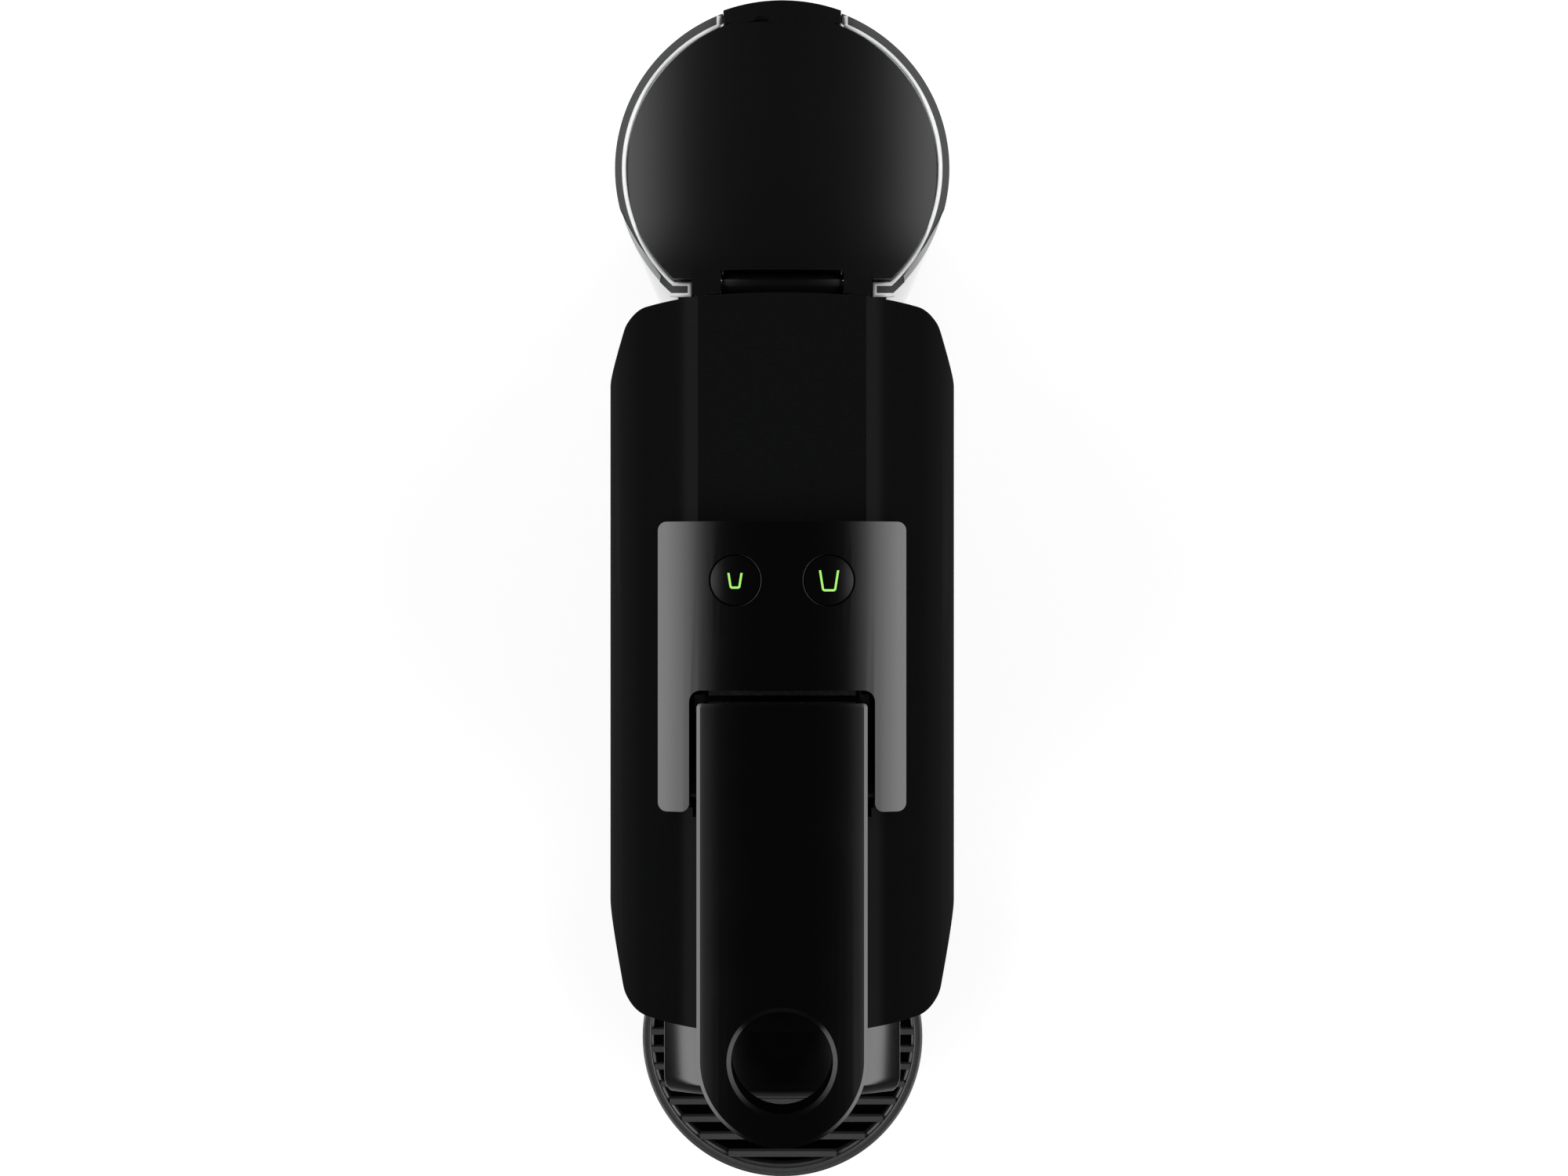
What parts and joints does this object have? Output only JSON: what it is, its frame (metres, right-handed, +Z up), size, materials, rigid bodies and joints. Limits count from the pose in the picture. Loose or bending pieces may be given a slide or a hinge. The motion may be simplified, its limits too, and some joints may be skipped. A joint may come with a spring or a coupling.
{
  "type": "pod coffee machine",
  "caption": "Slim pod coffee machine with a lever over the brew chamber, round drip tray in front, clear round water tank with a hinged lid behind, and push buttons with lit cup symbols.",
  "frame": {"origin": "centre of the bounding box at the bottom of the feet", "axes": "+Z up, -Y towards the user (lever tip and drip tray), +Y towards the water tank, +X to the user's right"},
  "size_m": [0.085, 0.325, 0.204],
  "materials": {
    "satin_black": "satin black moulded plastic",
    "gloss_black": "polished black plastic",
    "dark_grey": "fine matt dark grey plastic",
    "clear_plastic": "clear plastic",
    "lit_green": "translucent light guide lit green",
    "black_rubber": "matt rubber",
    "silicone": "translucent silicone",
    "white_plastic": "natural white plastic",
    "inner_plastic": "grey glass-filled plastic",
    "steel": "plain steel",
    "stainless": "stainless steel",
    "cast_aluminium": "die-cast aluminium",
    "coil_iron": "painted iron frame with moulded coil",
    "brass": "turned brass",
    "board_green": "solder mask on glass fibre board"
  },
  "bodies": {
    "machine_body": {"outer_shell": "satin_black", "base_plate": "satin_black", "rubber_feet": "black_rubber", "base_screws": "steel", "chassis": "inner_plastic", "control_panel": "gloss_black", "front_cover": "gloss_black", "coffee_spout": "gloss_black", "coffee_funnel": "inner_plastic", "injector_head": "inner_plastic", "injector_needles": "stainless", "injector_seal": "silicone", "thermoblock": "cast_aluminium", "thermal_fuse": "white_plastic", "heater_terminals": "brass", "pump_coil": "coil_iron", "pump_body": "brass", "pump_bracket": "steel", "pump_mounts": "black_rubber", "flow_meter": "white_plastic", "suction_hose": "silicone", "pump_hose": "silicone", "pressure_hose": "silicone", "control_board": "board_green", "board_screws": "steel", "tact_switches": "inner_plastic", "status_lights": "lit_green", "terminal_block": "white_plastic", "cord_gland": "black_rubber", "tank_dock": "satin_black", "inlet_nipple": "inner_plastic"},
    "lever": {"lever_handle": "gloss_black", "lever_axle": "steel", "crank_pins": "steel"},
    "holder": {"capsule_holder": "inner_plastic", "pyramid_plate": "stainless"},
    "small_button": {"small_cup_button": "gloss_black", "small_cup_symbol": "lit_green"},
    "large_button": {"large_cup_button": "gloss_black", "large_cup_symbol": "lit_green"},
    "drawer": {"drip_tray": "satin_black", "capsule_bin": "satin_black"},
    "grid": {"drip_grid": "dark_grey"},
    "tank": {"water_tank": "clear_plastic", "valve_body": "white_plastic", "valve_seal": "black_rubber", "valve_spring": "stainless"},
    "tank_valve": {"valve_poppet": "white_plastic"},
    "lid": {"tank_lid": "satin_black", "lid_hinge_pin": "steel"}
  },
  "joints": [
    {"name": "lever_hinge", "type": "hinge", "parent": "machine_body", "child": "lever", "pos_m": [0, -0.0305, 0.1925], "axis": [-1, 0, 0], "range_deg": [0, 80]},
    {"name": "holder_slide", "type": "slide", "parent": "machine_body", "child": "holder", "axis": [0, -1, 0], "range_m": [0, 0.0283]},
    {"name": "small_button_press", "type": "slide", "parent": "machine_body", "child": "small_button", "axis": [0, 0, -1], "range_m": [0, 0.0012], "stiffness_N_per_m": 600},
    {"name": "large_button_press", "type": "slide", "parent": "machine_body", "child": "large_button", "axis": [0, 0, -1], "range_m": [0, 0.0012], "stiffness_N_per_m": 600},
    {"name": "drawer_slide", "type": "slide", "parent": "machine_body", "child": "drawer", "axis": [0, -1, 0], "range_m": [0, 0.085]},
    {"name": "grid_lift", "type": "slide", "parent": "drawer", "child": "grid", "axis": [0, 0, 1], "range_m": [0, 0.04]},
    {"name": "tank_lift", "type": "slide", "parent": "machine_body", "child": "tank", "axis": [0, 0, 1], "range_m": [0, 0.05]},
    {"name": "valve_lift", "type": "slide", "parent": "tank", "child": "tank_valve", "axis": [0, 0, 1], "range_m": [0, 0.003], "stiffness_N_per_m": 150, "deforming": ["valve_spring"]},
    {"name": "lid_hinge", "type": "hinge", "parent": "tank", "child": "lid", "pos_m": [0, 0.092, 0.1565], "axis": [1, 0, 0], "range_deg": [0, 90]}
  ],
  "couplings": [
    {"joint": "holder_slide", "follows": "lever_hinge", "m_per_rad": 0.020197}
  ]
}
